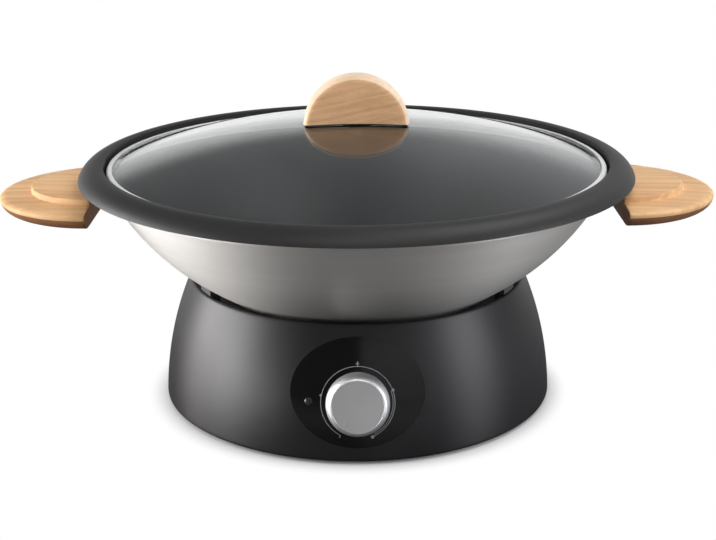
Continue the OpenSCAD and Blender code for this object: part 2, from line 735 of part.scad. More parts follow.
module lid_grip() {
    e = lid_grip_edge;
    half_t = lid_grip_t / 2;
    color("#cf9f6f") difference() {
        translate([0, 0, lid_z + dome_top - lid_grip_sink]) rotate([90, 0, 0]) rotate_extrude(angle = 180)
            polygon(concat([[0, -half_t]],
                arc_pts(lid_grip_r - e, e - half_t, e, -90, 0, 6),
                arc_pts(lid_grip_r - e, half_t - e, e, 0, 90, 6),
                [[0, half_t]]));
        dome_solid(seal_t + fit);
        translate([0, 0, insert_z - 8]) cylinder(r = insert_r + run, h = insert_len + 9);
    }
}

module grip_seal() {
    color("#3a2a22") difference() {
        intersection() {
            translate([-lid_grip_r + 1.5, 2 - lid_grip_t / 2, lid_z + dome_top - 10])
                cube([2 * lid_grip_r - 3, lid_grip_t - 4, 30]);
            dome_solid(seal_t);
        }
        dome_solid(fit);
        translate([0, 0, lid_z + dome_top - 5]) cylinder(r = lid_hole_r, h = 20);
    }
}

module lid_washer() {
    color("#3a3a3e") translate([0, 0, lid_z + dome_top - glass_t]) difference() {
        translate([0, 0, -1.6]) cylinder(r = washer_r, h = 1.5);
        translate([0, 0, -5]) cylinder(r = lid_hole_r - 0.8, h = 10);
    }
}

module lid_screw() {
    under = lid_z + dome_top - glass_t - 1.6;
    color("#c4c6c9") translate([0, 0, under]) rotate([180, 0, 0])
        pan_screw(lid_screw_r, glass_t + insert_len, lid_screw_r + 3, 2.4);
}

module lid_insert() {
    color("#c9a24b") translate([0, 0, insert_z]) difference() {
        cylinder(r = insert_r, h = insert_len);
        translate([0, 0, -cut]) cylinder(r = lid_screw_r + run, h = insert_len + 2 * cut);
    }
}

base_housing();
bottom_plate();
feet();
bottom_screws();
heat_shield();
shield_screws();
wok_rests();
heating_element();
element_supports();
element_bushings();
thermostat();
thermostat_screws();
control_fascia();
pilot_lens();
pilot_lamp();
terminal_block();
cord_gland();
cord_clamp();
thermal_fuse();
thermostat_shaft();
knob();
knob_cap();
wok_bowl();
left_handle();
right_handle();
left_bracket();
right_bracket();
handle_screws();
lid_glass();
lid_band();
lid_grip();
grip_seal();
lid_washer();
lid_screw();
lid_insert();
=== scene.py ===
import json
from math import acos, asin, cos, degrees, hypot, pi, radians, sin, sqrt

import bpy
from mathutils import Matrix, Vector

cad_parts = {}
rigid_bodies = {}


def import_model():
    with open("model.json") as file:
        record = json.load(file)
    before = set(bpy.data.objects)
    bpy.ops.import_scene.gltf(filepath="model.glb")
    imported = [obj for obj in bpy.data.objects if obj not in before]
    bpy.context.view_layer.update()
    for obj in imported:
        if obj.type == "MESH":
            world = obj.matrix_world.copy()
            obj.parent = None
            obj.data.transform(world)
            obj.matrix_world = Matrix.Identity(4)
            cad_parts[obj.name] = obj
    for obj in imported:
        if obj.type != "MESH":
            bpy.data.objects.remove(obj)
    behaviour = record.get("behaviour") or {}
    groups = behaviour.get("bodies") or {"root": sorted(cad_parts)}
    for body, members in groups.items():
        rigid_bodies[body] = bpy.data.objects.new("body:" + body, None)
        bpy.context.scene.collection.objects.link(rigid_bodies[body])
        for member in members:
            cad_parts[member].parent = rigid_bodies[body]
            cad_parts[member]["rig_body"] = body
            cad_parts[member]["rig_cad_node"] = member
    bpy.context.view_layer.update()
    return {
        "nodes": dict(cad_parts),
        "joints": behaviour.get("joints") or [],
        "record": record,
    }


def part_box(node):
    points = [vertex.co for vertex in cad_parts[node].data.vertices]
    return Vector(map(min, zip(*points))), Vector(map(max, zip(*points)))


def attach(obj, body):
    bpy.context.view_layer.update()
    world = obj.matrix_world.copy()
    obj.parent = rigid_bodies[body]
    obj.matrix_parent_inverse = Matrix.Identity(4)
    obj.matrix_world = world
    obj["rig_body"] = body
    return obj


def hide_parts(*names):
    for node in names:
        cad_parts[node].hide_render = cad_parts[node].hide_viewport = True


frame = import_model()
print("frame loaded")

# The dial's middle on the wall, and the direction that the knob faces, come from its joint.
# dialTurn takes X across the dial, Y up it and Z out of it to their places on the object.
dialJoint = next(j for j in frame["joints"] if j["name"] == "knob_turn")
dialPlace = Vector(dialJoint["pos_m"])
dialFacing = -Vector(dialJoint["axis"]).normalized()
dialUp = Vector((1, 0, 0)).cross(-dialFacing).normalized()
dialTurn = Matrix((Vector((1, 0, 0)), dialUp, dialFacing)).transposed().to_4x4()
dialTurn.translation = dialPlace

weldGap = 0.000002  # vertices that lie closer than this are merged


def selectOnly(piece):
    bpy.ops.object.select_all(action="DESELECT")
    piece.select_set(True)
    bpy.context.view_layer.objects.active = piece


def rename(name):
    # names the object that was made last
    piece = bpy.context.active_object
    piece.name = name
    piece.data.name = name
    return piece


def spaced(start, end, count):
    return [start + (end - start) * i / count for i in range(count + 1)]


def oval(centre, wide, tall, start, end, count):
    # points along part of an ellipse, from one angle to another in degrees
    angles = [radians(a) for a in spaced(start, end, count)]
    return [(centre[0] + wide * cos(a), centre[1] + tall * sin(a)) for a in angles]


def arc(centre, radius, start, end, count):
    return oval(centre, radius, radius, start, end, count)


def editAll():
    bpy.ops.object.mode_set(mode="EDIT")
    bpy.ops.mesh.select_all(action="SELECT")


def tidyMesh():
    editAll()
    bpy.ops.mesh.remove_doubles(threshold=weldGap)
    bpy.ops.mesh.normals_make_consistent(inside=False)
    bpy.ops.object.mode_set(mode="OBJECT")


def pullOutline(points):
    # a small triangle is merged to one vertex, which is then extruded from point to point
    bpy.ops.object.select_all(action="DESELECT")
    bpy.ops.mesh.primitive_circle_add(vertices=3, radius=0.001)
    editAll()
    bpy.ops.mesh.merge(type="CENTER")
    bpy.ops.mesh.select_all(action="SELECT")
    bpy.ops.transform.translate(value=points[0])
    for before, after in zip(points, points[1:]):
        step = [b - a for a, b in zip(before, after)]
        bpy.ops.mesh.extrude_region_move(TRANSFORM_OT_translate={"value": step})


def turned(name, outline, steps, closed=False):
    # pulls an outline of (radius, height) points and spins it round the Z axis
    points = [(r, 0, z) for r, z in outline]
    if closed:
        points.append(points[0])
    pullOutline(points)
    bpy.ops.mesh.select_all(action="SELECT")
    bpy.ops.mesh.spin(steps=steps, angle=2 * pi, center=(0, 0, 0), axis=(0, 0, 1))
    bpy.ops.object.mode_set(mode="OBJECT")
    tidyMesh()
    return rename(name)


def smooth(piece, angle=35):
    selectOnly(piece)
    bpy.ops.object.shade_smooth_by_angle(angle=radians(angle))


def modify(piece, kind, **settings):
    selectOnly(piece)
    modifier = piece.modifiers.new(kind.title(), kind)
    for key, value in settings.items():
        setattr(modifier, key, value)
    bpy.ops.object.modifier_apply(modifier=modifier.name)


def bevelled(piece, width, segments=3, angle=30):
    modify(piece, "BEVEL", width=width, segments=segments, limit_method="ANGLE", angle_limit=radians(angle))


def settle(piece, matrix):
    # moves a piece that was made at the origin to its place, and leaves the object at the origin
    piece.matrix_world = matrix
    selectOnly(piece)
    bpy.ops.object.transform_apply(location=True, rotation=True, scale=True)


def cutBy(piece, cutter, operation="DIFFERENCE"):
    modify(piece, "BOOLEAN", object=cutter, operation=operation, solver="EXACT")
    bpy.data.objects.remove(cutter)


def copyOf(piece, name):
    other = piece.copy()
    other.data = piece.data.copy()
    other.name = other.data.name = name
    bpy.context.collection.objects.link(other)
    return other


def joined(name, parts):
    bpy.ops.object.select_all(action="DESELECT")
    for part in parts:
        part.select_set(True)
    bpy.context.view_layer.objects.active = parts[0]
    bpy.ops.object.join()
    return rename(name)


def weldedCopy(node):
    # a merged copy of a CAD node, so that its round faces shade smoothly
    piece = copyOf(frame["nodes"][node], node + ".smooth")
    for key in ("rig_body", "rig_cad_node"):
        if key in piece:
            del piece[key]
    piece.parent = None
    selectOnly(piece)
    editAll()
    bpy.ops.mesh.remove_doubles(threshold=weldGap)
    bpy.ops.object.mode_set(mode="OBJECT")
    if piece.data.has_custom_normals:
        bpy.ops.mesh.customdata_custom_splitnormals_clear()
    smooth(piece, angle=32)
    return piece


def place(piece, body, nodes, *looks, slot=None):
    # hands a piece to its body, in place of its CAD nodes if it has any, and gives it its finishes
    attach(piece, body)
    if nodes:
        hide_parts(*nodes)
    piece.data.materials.clear()
    for look in looks:
        piece.data.materials.append(look)


class Wire:
    # wraps one output socket, so that shader maths reads as plain sums
    def __init__(self, shading, socket):
        self.shading = shading
        self.socket = socket

    def __add__(self, other):
        return self.shading.math("ADD", self, other)

    def __sub__(self, other):
        return self.shading.math("SUBTRACT", self, other)

    def __rsub__(self, other):
        return self.shading.math("SUBTRACT", other, self)

    def __mul__(self, other):
        return self.shading.math("MULTIPLY", self, other)

    def __pow__(self, other):
        return self.shading.math("POWER", self, other)

    __radd__ = __add__
    __rmul__ = __mul__

    def band(self, low, high):
        # 0 below low, 1 above high, smooth between
        return self.shading.node("ShaderNodeMapRange", {"interpolation_type": "SMOOTHSTEP"},
                                 {"Value": self, "From Min": low, "From Max": high}, "Result")

    def spread(self, amount):
        # a noise, which lies about 0.5, as a change that goes both ways from 0
        return (self - 0.5) * amount


class Shading:
    # builds one node tree, of a material or of the world
    def __init__(self, tree, output):
        self.tree = tree
        self.tree.nodes.clear()
        self.end = tree.nodes.new(output)

    def node(self, kind, settings=None, sockets=None, output=0):
        made = self.tree.nodes.new(kind)
        for key, value in (settings or {}).items():
            setattr(made, key, value)
        for key, value in (sockets or {}).items():
            self.feed(made.inputs[key], value)
        return Wire(self, made.outputs[output])

    def feed(self, socket, value):
        if isinstance(value, Wire):
            self.tree.links.new(value.socket, socket)
        elif socket.type == "RGBA":
            socket.default_value = (*value, 1)
        else:
            socket.default_value = value

    def math(self, operation, *values):
        return self.node("ShaderNodeMath", {"operation": operation}, dict(enumerate(values)))

    def axes(self, vector):
        # the X, Y and Z of a vector
        split = self.node("ShaderNodeSeparateXYZ", sockets={"Vector": vector}).socket.node
        return [Wire(self, split.outputs[axis]) for axis in "XYZ"]

    def rays(self):
        # each is 1 for its own kind of ray and 0 for the others
        return [self.node("ShaderNodeLightPath", output=ray)
                for ray in ("Is Camera Ray", "Is Glossy Ray", "Is Transmission Ray")]

    def point(self, x, y, z):
        return self.node("ShaderNodeCombineXYZ", sockets={"X": x, "Y": y, "Z": z})

    def noise(self, at, scale=1.0, detail=2.0, roughness=0.5):
        return self.node("ShaderNodeTexNoise", {}, {"Vector": at, "Scale": scale, "Detail": detail,
                                                    "Roughness": roughness}, "Fac")

    def blend(self, mask, first, second):
        return self.node("ShaderNodeMix", {"data_type": "RGBA"}, {0: mask, 6: first, 7: second}, 2)

    def bump(self, height, strength, distance):
        return self.node("ShaderNodeBump",
                         sockets={"Height": height, "Strength": strength, "Distance": distance})

    def show(self, shader):
        self.tree.links.new(shader.socket, self.end.inputs["Surface"])


class Finish(Shading):
    # a surface finish, drawn on a piece's own Object coordinates
    def __init__(self, name):
        self.material = bpy.data.materials.new(name)
        self.material.use_nodes = True
        super().__init__(self.material.node_tree, "ShaderNodeOutputMaterial")
        self.place = self.node("ShaderNodeTexCoord", output="Object")
        self.x, self.y, self.z = self.axes(self.place)

    def surface(self, sockets):
        self.show(self.node("ShaderNodeBsdfPrincipled", sockets=sockets))
        return self.material


def shaded(colour, share):
    return tuple(min(1, c * share) for c in colour)


def grainyFinish(name, colour, roughness, metallic=0.0, shade=0.10, grain=1200, height=0.00002, coat=0.0,
                 specular=0.5):
    # moulded, painted or plain metal: a fine grain over slow changes of tone
    f = Finish(name)
    slow = f.noise(f.place, scale=14, detail=3)
    fine = f.noise(f.place, scale=grain)
    tone = f.blend(slow.band(0.35, 0.65), shaded(colour, 1 - shade), shaded(colour, 1 + shade))
    return f.surface({"Base Color": tone, "Metallic": metallic, "Specular IOR Level": specular,
                      "Coat Weight": coat, "Coat Roughness": 0.06,
                      "Roughness": slow.spread(0.08) + fine.spread(0.06) + roughness,
                      "Normal": f.bump(fine, strength=0.35, distance=height)})


def spunSteelFinish(name, colour, roughness, lines=1500, height=0.00001, paintedShadeHeights=(0.076, 0.122)):
    # fine lines run round the Z axis, as turning and brushing leave them, and painted shade darkens the
    # lower part, next to the base
    f = Finish(name)
    abovePaintedShade = f.z.band(*paintedShadeHeights)
    rise = f.z + (f.x * f.x + f.y * f.y) * 3.5  # also grows outwards, for the lines of the flat middle
    strokes = f.noise(f.point(f.x * 14, f.y * 14, rise * lines), detail=4, roughness=0.65)
    broad = f.noise(f.point(f.x * 5, f.y * 5, rise * 160))
    slow = f.noise(f.place, scale=11)
    tone = strokes.spread(0.30) + broad.spread(0.25) + 0.5
    spun = f.blend(tone.band(0.2, 0.8), shaded(colour, 0.88), colour)
    # below the painted shade heights the base colour is darkened, as painted shade
    return f.surface({"Base Color": f.blend(abovePaintedShade, shaded(colour, 0.45), spun), "Metallic": 1.0,
                      "Roughness": strokes.spread(0.16) + slow.spread(0.06) + roughness,
                      "Anisotropic": 0.6, "Anisotropic Rotation": 0.25,
                      "Normal": f.bump(strokes, strength=0.25, distance=height)})


def coatingFinish(name, colour, fleckColour, roughness):
    # dark non-stick coating with a very fine metallic fleck
    f = Finish(name)
    slow = f.noise(f.place, scale=9, detail=3)
    fleck = f.noise(f.place, scale=2600, detail=1).band(0.70, 0.78)
    pebble = f.noise(f.place, scale=700)
    body = f.blend(slow.band(0.3, 0.7), shaded(colour, 0.88), colour)
    return f.surface({"Base Color": f.blend(fleck * 0.35, body, fleckColour), "Metallic": 0.15,
                      "Specular IOR Level": 0.35, "Roughness": slow.spread(0.10) + roughness,
                      "Normal": f.bump(pebble, strength=0.2, distance=0.00003)})


def beechFinish(name, light, dark, pith, tilt):
    # soft growth rings round a distant pith line along X, long fibres and the small dark flecks of beech
    f = Finish(name)
    lean = (0, radians(tilt), radians(tilt))
    x, y, z = f.axes(f.node("ShaderNodeMapping", sockets={"Vector": f.place, "Rotation": lean}))

    def drawn(along, across, **settings):
        # noise that is drawn out along the grain
        return f.noise(f.point(x * along, y * across, z * across), **settings)

    sway = drawn(along=6, across=20)
    fibre = drawn(along=26, across=620, detail=4, roughness=0.65)
    streak = drawn(along=9, across=130, detail=3, roughness=0.6)
    fleck = drawn(along=240, across=1700, detail=1, roughness=0.4).band(0.67, 0.75)
    cloud = f.noise(f.place, scale=22, detail=3)
    acrossPith, abovePith = y - pith[0], z - pith[1]
    ring = (acrossPith * acrossPith + abovePith * abovePith) ** 0.5 + sway.spread(0.010)
    late = f.noise(f.point(ring * 260, x * 3, 0), detail=3, roughness=0.6).band(0.40, 0.66)
    tone = late * 0.30 + fibre.spread(0.45) + streak.spread(0.68) + cloud.spread(0.7) + 0.38
    plain = f.blend(tone.band(0.0, 1.0), light, dark)
    return f.surface({"Base Color": f.blend(fleck * 0.3, plain, shaded(dark, 0.6)),
                      "Specular IOR Level": 0.25, "Roughness": fibre.spread(0.14) + fleck * 0.1 + 0.5,
                      "Normal": f.bump(fibre, strength=0.2, distance=0.00006)})


def glassFinish(name):
    # clear toughened glass with a slight haze
    f = Finish(name)
    haze = f.noise(f.place, scale=25, detail=3).spread(0.01) + 0.008
    return f.surface({"Base Color": (0.90, 0.93, 0.93), "Roughness": haze, "IOR": 1.32,
                      "Transmission Weight": 1.0})


def heaterFinish(name):
    # sheathed tube, oxidised in slow patches by the heat
    f = Finish(name)
    heat = f.noise(f.place, scale=60, detail=3).band(0.35, 0.7)
    crust = f.noise(f.place, scale=900)
    return f.surface({"Base Color": f.blend(heat, (0.10, 0.09, 0.085), (0.20, 0.16, 0.13)),
                      "Metallic": 0.9, "Roughness": heat * 0.12 + 0.42,
                      "Normal": f.bump(crust, strength=0.2, distance=0.00003)})


# One finish for each material slot: its colour, its roughness and what differs from a plain finish
finishes = {
    "housing": grainyFinish("housing", (0.017, 0.0155, 0.0172), 0.40, grain=1800, height=0.000015,
                            specular=0.42),
    "dark_steel": grainyFinish("dark_steel", (0.05, 0.05, 0.054), 0.42),
    "rubber": grainyFinish("rubber", (0.022, 0.022, 0.023), 0.78),
    "screw_steel": grainyFinish("screw_steel", (0.56, 0.57, 0.59), 0.30, metallic=1.0),
    "aluminised": grainyFinish("aluminised", (0.74, 0.74, 0.72), 0.33, metallic=1.0, shade=0.08),
    "rest_plastic": grainyFinish("rest_plastic", (0.085, 0.085, 0.09), 0.55),
    "heater_steel": heaterFinish("heater_steel"),
    "plain_steel": grainyFinish("plain_steel", (0.60, 0.60, 0.58), 0.34, metallic=1.0),
    "ceramic": grainyFinish("ceramic", (0.80, 0.76, 0.68), 0.38, shade=0.05),
    "fascia": grainyFinish("fascia", (0.006, 0.006, 0.0065), 0.14, shade=0.05, height=0.000002, coat=0.2),
    "lens": grainyFinish("lens", (0.036, 0.030, 0.030), 0.16, coat=0.3, height=0.000004),
    "lamp": grainyFinish("lamp", (0.82, 0.79, 0.74), 0.15, shade=0.04),
    "gland": grainyFinish("gland", (0.022, 0.022, 0.024), 0.5),
    "knob_silver": grainyFinish("knob_silver", (0.92, 0.92, 0.93), 0.50, metallic=1.0, shade=0.04,
                                height=0.000004),
    "knob_face": grainyFinish("knob_face", (0.86, 0.86, 0.865), 0.44, metallic=0.85, shade=0.06,
                              grain=2600),
    "wok_steel": spunSteelFinish("wok_steel", (0.73, 0.715, 0.69), 0.60),
    "wood": beechFinish("wood", (0.86, 0.55, 0.285), (0.60, 0.33, 0.15), pith=(0.14, -0.02), tilt=2.0),
    "lid_glass": glassFinish("lid_glass"),
    "band_steel": grainyFinish("band_steel", (0.95, 0.95, 0.94), 0.34, metallic=0.35, shade=0.04,
                               height=0.000003),
    "brass": grainyFinish("brass", (0.72, 0.55, 0.25), 0.3, metallic=1.0),
}

# Finishes that only parts of a piece have, or pieces that no CAD node has
gripPith = (0.06, 0.05)
coating = coatingFinish("coating", (0.024, 0.0235, 0.0235), (0.22, 0.21, 0.205), 0.50)
brightEdge = grainyFinish("bright_edge", (0.85, 0.84, 0.82), 0.22, metallic=1.0, shade=0.04)
gripWood = beechFinish("grip_wood", (0.88, 0.55, 0.31), (0.56, 0.305, 0.15), gripPith, tilt=8.0)
# painted highlight: paler wood for the grip's rounded edge
gripEdgeHighlight = beechFinish("grip_edge", (0.93, 0.74, 0.54), (0.78, 0.56, 0.37), gripPith, tilt=8.0)
# darker wood for the handles' end grain, also used as painted shade on their undersides
endGrainAndPaintedShade = beechFinish("end_grain_and_painted_shade", (0.33, 0.155, 0.07), (0.22, 0.095, 0.04), pith=(0.30, -0.02), tilt=0.0)
dialPrint = grainyFinish("dial_print", (0.34, 0.34, 0.35), 0.5, shade=0.05)
faceMark = grainyFinish("face_mark", (0.62, 0.62, 0.62), 0.4, metallic=0.5, shade=0.05)

slotOf = {part["node"]: part["material_slot"] for part in frame["record"]["subparts"]}
for name, node in frame["nodes"].items():
    node.data.materials.clear()
    node.data.materials.append(finishes[slotOf[name]])
print("finishes made")

# The housing's wall bulges: its side is an arc that leans in by "lean" degrees at the foot
housing = {"radius": 0.130, "bulge": 0.215, "lean": 2.0, "wall": 0.003, "edge": 0.0015,
           "edgeBlend": 0.0012, "topBlend": 0.001, "ledgeDrop": 0.015, "ledgeWide": 0.011,
           "ledgeThick": 0.0026, "ledgeFoot": 0.006}
housingLow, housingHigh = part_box("base_housing")
housingTall = housingHigh[2] - housingLow[2]
bulgeR = housing["radius"] - housing["bulge"] * cos(radians(housing["lean"]))
bulgeH = -housing["bulge"] * sin(radians(housing["lean"]))


def wallRadius(height, inset=0.0):
    return bulgeR + sqrt((housing["bulge"] - inset) ** 2 - (height - bulgeH) ** 2)


def wallLine(inset, start, end, count):
    return [(wallRadius(height, inset), height) for height in spaced(start, end, count)]


wall, edge = housing["wall"], housing["edge"]
ledgeHigh = housingTall - housing["ledgeDrop"]
ledgeLow = ledgeHigh - housing["ledgeThick"]
ledgeIn = wallRadius(ledgeHigh, wall) - housing["ledgeWide"]
topH = housingTall - edge
topLean = degrees(asin((topH - bulgeH) / housing["bulge"]))
shell = (arc((wallRadius(edge) - edge, edge), edge, -90, 0, count=5)
         + wallLine(0, edge + housing["edgeBlend"], topH - housing["topBlend"], count=40)
         + arc((wallRadius(topH, edge), topH), edge, topLean, topLean + 180, count=10)
         + [(wallRadius(ledgeHigh, wall), ledgeHigh), (ledgeIn, ledgeHigh), (ledgeIn, ledgeLow)]
         + wallLine(wall, ledgeLow - housing["ledgeFoot"], 0.0, count=6))
housingPiece = turned("housing.shell", [(r, h + housingLow[2]) for r, h in shell], steps=256, closed=True)
smooth(housingPiece, angle=40)
place(housingPiece, "base", ["base_housing"], finishes["housing"])
print("housing made")

wallTries = 8  # rounds in which a vertex closes in on the wall


def ontoWall(piece, lift):
    # moves each vertex along the dial's facing until it lies lift above the wall
    for vertex in piece.data.vertices:
        depth = vertex.co.z
        for _ in range(wallTries):
            at = dialTurn @ Vector((vertex.co.x, vertex.co.y, depth))
            gap = hypot(hypot(at.x, at.y) - bulgeR, at.z - housingLow[2] - bulgeH) - housing["bulge"]
            depth -= gap - lift - vertex.co.z
        vertex.co.z = depth
    settle(piece, dialTurn)


def ringAtDial(name, radii, count, wide=1.0, tall=1.0, start=0.0, sweep=360.0):
    # a flat ring or part of one, drawn anticlockwise round the dial's middle
    pullOutline([(r * cos(radians(start)), r * sin(radians(start)), 0) for r in radii])
    bpy.ops.mesh.select_all(action="SELECT")
    bpy.ops.mesh.spin(steps=count, angle=radians(sweep), center=(0, 0, 0), axis=(0, 0, -1))
    bpy.ops.mesh.select_all(action="SELECT")
    bpy.ops.transform.resize(value=(wide, tall, 1), center_override=(0, 0, 0))
    bpy.ops.object.mode_set(mode="OBJECT")
    tidyMesh()
    return rename(name)


def faceTowards(piece, direction):
    # turns an open sheet's faces towards a direction
    if sum(face.normal.dot(direction) for face in piece.data.polygons) < 0:
        selectOnly(piece)
        editAll()
        bpy.ops.mesh.flip_normals()
        bpy.ops.object.mode_set(mode="OBJECT")


def shiftMesh(piece, step):
    selectOnly(piece)
    editAll()
    bpy.ops.transform.translate(value=step)
    bpy.ops.object.mode_set(mode="OBJECT")


# The panel and its print are drawn flat in front of the dial and then laid on the round wall
panel = {"wide": 0.081, "tall": 0.0674, "up": 0.0061, "proud": 0.00014, "thick": 0.0012, "rings": 16,
         "steps": 128}
panelRings = [i / panel["rings"] for i in range(1, panel["rings"] + 1)]
panelPiece = ringAtDial("panel.gloss", panelRings, panel["steps"], panel["wide"] / 2, panel["tall"] / 2)
shiftMesh(panelPiece, (0, panel["up"], 0))
ontoWall(panelPiece, panel["proud"])
faceTowards(panelPiece, dialFacing)
modify(panelPiece, "SOLIDIFY", thickness=panel["thick"], offset=-1)
smooth(panelPiece, angle=40)
place(panelPiece, "base", ["control_fascia"], finishes["fascia"])

# The scale runs clockwise from "off" to "hot", and has a second line inside it on its hot side.
# Over its top stands a small cross. Each dot has its angle, its place outside the line and its size.
dial = {"radius": 0.0222, "line": 0.00042, "off": 242.0, "hot": -67.0, "lift": 0.00018, "thick": 0.00005,
        "second": 0.0011, "secondFrom": 20.0, "secondShort": 4, "secondThin": 0.8,
        "top": 90, "tick": 0.0030, "tickWide": 0.0006, "offTick": 0.0016, "crossUp": 0.0013,
        "crossWide": 0.0020, "dots": [(168, 0.0004, 0.0007), (20, 0.0002, 0.0009), (-67.0, 0.0002, 0.0011)],
        "dotHole": 0.02, "dotSteps": 20, "lineStep": 2}


def printed(flat):
    ontoWall(flat, dial["lift"])
    faceTowards(flat, dialFacing)
    modify(flat, "SOLIDIFY", thickness=dial["thick"], offset=1)
    return flat


def scaleLine(radius, wide, start, end):
    return ringAtDial("line", [radius - wide / 2, radius + wide / 2], int((end - start) / dial["lineStep"]),
                      start=start, sweep=end - start)


def dotAt(angle, radius, size):
    # a disc with a hole in its middle that is too small to see
    dot = ringAtDial("dot", [size * dial["dotHole"], size], dial["dotSteps"])
    shiftMesh(dot, (radius * cos(radians(angle)), radius * sin(radians(angle)), 0))
    return dot


def tickAt(angle, inner, outer, wide):
    # a short bar along the radius, or across it where outer is close to inner
    half = degrees(wide / (inner + outer))
    return ringAtDial("tick", [inner, outer], count=2, start=angle - half, sweep=2 * half)


scaleR, line, bar = dial["radius"], dial["line"], dial["tickWide"]
crossR = scaleR + dial["crossUp"]
marks = [scaleLine(scaleR, line, dial["hot"], dial["off"]),
         scaleLine(scaleR - dial["second"], line * dial["secondThin"], dial["hot"] + dial["secondShort"],
                   dial["secondFrom"]),
         tickAt(dial["top"], scaleR, scaleR + dial["tick"], bar),
         tickAt(dial["top"], crossR, crossR + bar, dial["crossWide"]),
         tickAt(dial["off"], scaleR, scaleR + dial["offTick"], bar)]
marks += [dotAt(angle, scaleR + outside, size) for angle, outside, size in dial["dots"]]
printPiece = joined("panel.print", [printed(mark) for mark in marks])
place(printPiece, "base", [], dialPrint, slot="knob_face")
print("panel made")

# The knob is hollow at the back, round a boss with a bore. It is spun upright and then laid on its axis.
knob = {"radius": 0.0192, "tall": 0.011, "lift": 0.0008, "chamfer": 0.0003, "roundFrom": 0.0025,
        "roundTo": 84, "face": 0.0155, "faceDeep": 0.001, "lipRound": 0.00012, "sink": 0.00018,
        "skirt": 0.0022, "bore": 0.003, "boss": 0.006, "bossFrom": 0.002, "bossDown": 0.003,
        "hollowIn": 0.004, "hollowDown": 0.0035}
kr, kh, faceR = knob["radius"], knob["tall"], knob["face"]
lift, chamfer, lipRound = knob["lift"], knob["chamfer"], knob["lipRound"]
faceFloor, roundFrom = kh - knob["faceDeep"], knob["roundFrom"]
side = ([(kr - knob["skirt"], lift), (kr - chamfer, lift), (kr, lift + chamfer)]
        + oval((faceR, roundFrom), kr - faceR, kh - roundFrom, 0, knob["roundTo"], count=14)
        + [(faceR + lipRound, kh), (faceR, kh - lipRound), (faceR, faceFloor), (knob["bore"], faceFloor),
           (knob["bore"], knob["bossFrom"]), (knob["boss"], knob["bossFrom"]),
           (knob["boss"], kh - knob["bossDown"]), (kr - knob["hollowIn"], kh - knob["hollowDown"])])
knobPiece = turned("knob.body", side, steps=160, closed=True)
settle(knobPiece, dialTurn)
smooth(knobPiece, angle=28)
place(knobPiece, "knob", ["knob"], finishes["knob_silver"])

cap = {"gap": 0.0001, "edge": 0.0001, "thick": 0.0008}
capR, capH = faceR - cap["gap"], kh - knob["sink"]
facePiece = turned("knob.face", [(0, capH - cap["thick"]), (capR, capH - cap["thick"]),
                                 (capR, capH - cap["edge"]), (capR - cap["edge"], capH), (0, capH)],
                   steps=128)
settle(facePiece, dialTurn)
smooth(facePiece, angle=28)
place(facePiece, "knob", ["knob_cap"], finishes["knob_face"])

pointer = {"angle": 240.0, "inner": 0.0105, "outer": 0.0138, "half": 4.5, "lift": 0.00001, "thick": 0.00006}
pointerPiece = ringAtDial("knob.pointer", [pointer["inner"], pointer["outer"]], count=6,
                          start=pointer["angle"] - pointer["half"], sweep=2 * pointer["half"])
shiftMesh(pointerPiece, (0, 0, capH + pointer["lift"]))
modify(pointerPiece, "SOLIDIFY", thickness=pointer["thick"], offset=0)
settle(pointerPiece, dialTurn)
place(pointerPiece, "knob", [], faceMark, slot="knob_face")

# The pilot light stands beside the knob, turned round the housing's axis from the dial
lens = {"radius": 0.0024, "brim": 0.0002, "proud": 0.0006, "deep": 0.0042}
lensLow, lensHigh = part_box("pilot_lens")
lensAngle = asin((lensLow[0] + lensHigh[0]) / 2 / wallRadius(dialPlace.z - housingLow[2]))
lensPiece = turned("pilot.lens", [(0, -lens["deep"]), (lens["radius"], -lens["deep"]),
                                  (lens["radius"], lens["brim"])]
                   + oval((0, lens["brim"]), lens["radius"], lens["proud"], 15, 90, count=5), steps=48)
settle(lensPiece, Matrix.Rotation(lensAngle, 4, "Z") @ dialTurn)
smooth(lensPiece)
place(lensPiece, "base", ["pilot_lens"], finishes["lens"])
print("knob and pilot light made")

# A flat middle, a round, a straight slope, the bulging side, the step of the lid's seat and the lip
pan = {"sheet": 0.0016, "slope": 34.2, "lowWall": 0.041, "sideRound": 0.1575, "floorRound": 0.060,
       "lipWide": 0.0162, "lipRound": 0.0136, "lipRise": 0.013, "lipStart": 105.0, "seatHigh": 0.102,
       "seatWide": 0.0036, "edgeWide": 0.0016, "edgeTilt": 0.1, "coatTilt": 0.03}
panLow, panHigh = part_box("wok_bowl")
panRadius = panHigh[0]
sheet, slope = pan["sheet"], pan["slope"]
seatTop, seatUnder = pan["seatHigh"], pan["seatHigh"] - sheet
collar = panRadius - pan["lipWide"]
sideZ = pan["lowWall"] + pan["sideRound"] * cos(radians(slope))
sideR = collar - pan["seatWide"] - sqrt((pan["sideRound"] - sheet) ** 2 - (sideZ - seatTop) ** 2)
breakR = sideR + pan["sideRound"] * sin(radians(slope))
slopeWide = pan["lowWall"] / sin(radians(slope)) * cos(radians(slope))
flatR = breakR - slopeWide - pan["floorRound"] * sin(radians(slope / 2)) / cos(radians(slope / 2))


def bowlSide(inset, height):
    upper = degrees(asin((sideZ - height) / (pan["sideRound"] - inset)))
    return (arc((flatR, pan["floorRound"]), pan["floorRound"] - inset, -90, slope - 90, count=12)
            + arc((sideR, sideZ), pan["sideRound"] - inset, slope - 90, -upper, count=28))


